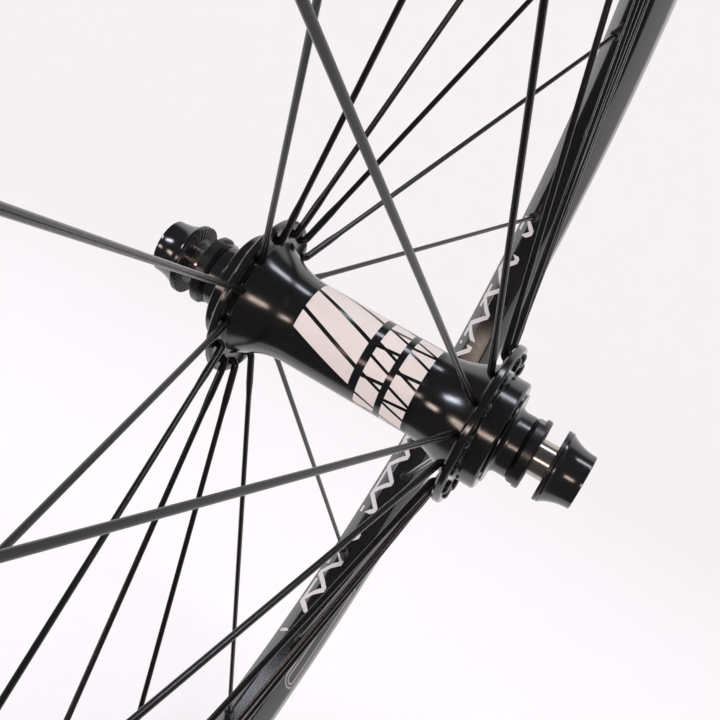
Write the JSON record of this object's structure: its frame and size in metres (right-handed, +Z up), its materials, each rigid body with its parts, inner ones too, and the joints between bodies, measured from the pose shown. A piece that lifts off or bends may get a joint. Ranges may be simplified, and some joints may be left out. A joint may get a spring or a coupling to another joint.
{
  "type": "bicycle front wheel",
  "caption": "Bolt-on front wheel for a small racing bicycle: cartridge-bearing hub, straight radial spokes and a narrow double-wall rim, without a tyre.",
  "frame": {"origin": "centre of the wheel, on the axle's line in the rim's middle plane", "axes": "+Y along the axle towards the wheel's right side, +Z up, valve hole at the bottom"},
  "size_m": [0.4185, 0.127, 0.4186],
  "materials": {
    "axle_aluminium": "satin turned aluminium",
    "end_cap_black": "satin black anodised aluminium",
    "locknut_black": "satin black anodised aluminium",
    "bearing_steel": "ground bearing steel",
    "ball_steel": "polished bearing steel",
    "cage_brass": "pressed brass",
    "seal_rubber": "black moulded rubber",
    "hub_black": "gloss black anodised aluminium with etched silver panels",
    "spoke_black": "black coated stainless steel",
    "nipple_black": "black anodised aluminium",
    "rim_black": "gloss black coated aluminium with white line panels",
    "sleeve_aluminium": "extruded aluminium",
    "washer_black": "black coated serrated steel",
    "shank_steel": "polished steel",
    "bolt_black": "gloss black anodised aluminium"
  },
  "bodies": {
    "axle_assembly": {"axle": "axle_aluminium", "end_cap_left": "end_cap_black", "end_cap_right": "end_cap_black", "locknut_left": "locknut_black", "locknut_right": "locknut_black", "bearing_inner_left": "bearing_steel", "bearing_inner_right": "bearing_steel"},
    "wheel": {"hub_shell": "hub_black", "bearing_outer_left": "bearing_steel", "bearing_outer_right": "bearing_steel", "bearing_seals_left": "seal_rubber", "bearing_seals_right": "seal_rubber", "spokes_left": "spoke_black", "spokes_right": "spoke_black", "nipples_left": "nipple_black", "nipples_right": "nipple_black", "rim": "rim_black", "rim_joint_sleeve": "sleeve_aluminium"},
    "balls_left": {"bearing_balls_left": "ball_steel", "bearing_cage_left": "cage_brass"},
    "balls_right": {"bearing_balls_right": "ball_steel", "bearing_cage_right": "cage_brass"},
    "washer_left": {"washer_left": "washer_black"},
    "washer_right": {"washer_right": "washer_black"},
    "bolt_left": {"bolt_shank_left": "shank_steel", "bolt_head_left": "bolt_black"},
    "bolt_right": {"bolt_shank_right": "shank_steel", "bolt_head_right": "bolt_black"}
  },
  "joints": [
    {"name": "wheel_spin", "type": "hinge", "parent": "axle_assembly", "child": "wheel", "pos_m": [0, 0, 0], "axis": [0, 1, 0], "continuous": true},
    {"name": "balls_left_orbit", "type": "hinge", "parent": "axle_assembly", "child": "balls_left", "pos_m": [0, -0.0379, 0], "axis": [0, 1, 0], "continuous": true},
    {"name": "balls_right_orbit", "type": "hinge", "parent": "axle_assembly", "child": "balls_right", "pos_m": [0, 0.0379, 0], "axis": [0, 1, 0], "continuous": true},
    {"name": "washer_left_slide", "type": "slide", "parent": "axle_assembly", "child": "washer_left", "axis": [0, -1, 0], "range_m": [-0.0042, 0.004]},
    {"name": "bolt_left_turn", "type": "hinge", "parent": "washer_left", "child": "bolt_left", "pos_m": [0, -0.056, 0], "axis": [0, -1, 0], "range_deg": [-1512.1, 1440.1]},
    {"name": "washer_right_slide", "type": "slide", "parent": "axle_assembly", "child": "washer_right", "axis": [0, 1, 0], "range_m": [-0.0042, 0.004]},
    {"name": "bolt_right_turn", "type": "hinge", "parent": "washer_right", "child": "bolt_right", "pos_m": [0, 0.056, 0], "axis": [0, 1, 0], "range_deg": [-1512.1, 1440.1]}
  ],
  "couplings": [
    {"joint": "balls_left_orbit", "follows": "wheel_spin", "ratio": 0.56103},
    {"joint": "balls_right_orbit", "follows": "wheel_spin", "ratio": 0.56103},
    {"joint": "bolt_left_turn", "follows": "washer_left_slide", "rad_per_m": 6283.2},
    {"joint": "bolt_right_turn", "follows": "washer_right_slide", "rad_per_m": 6283.2}
  ]
}
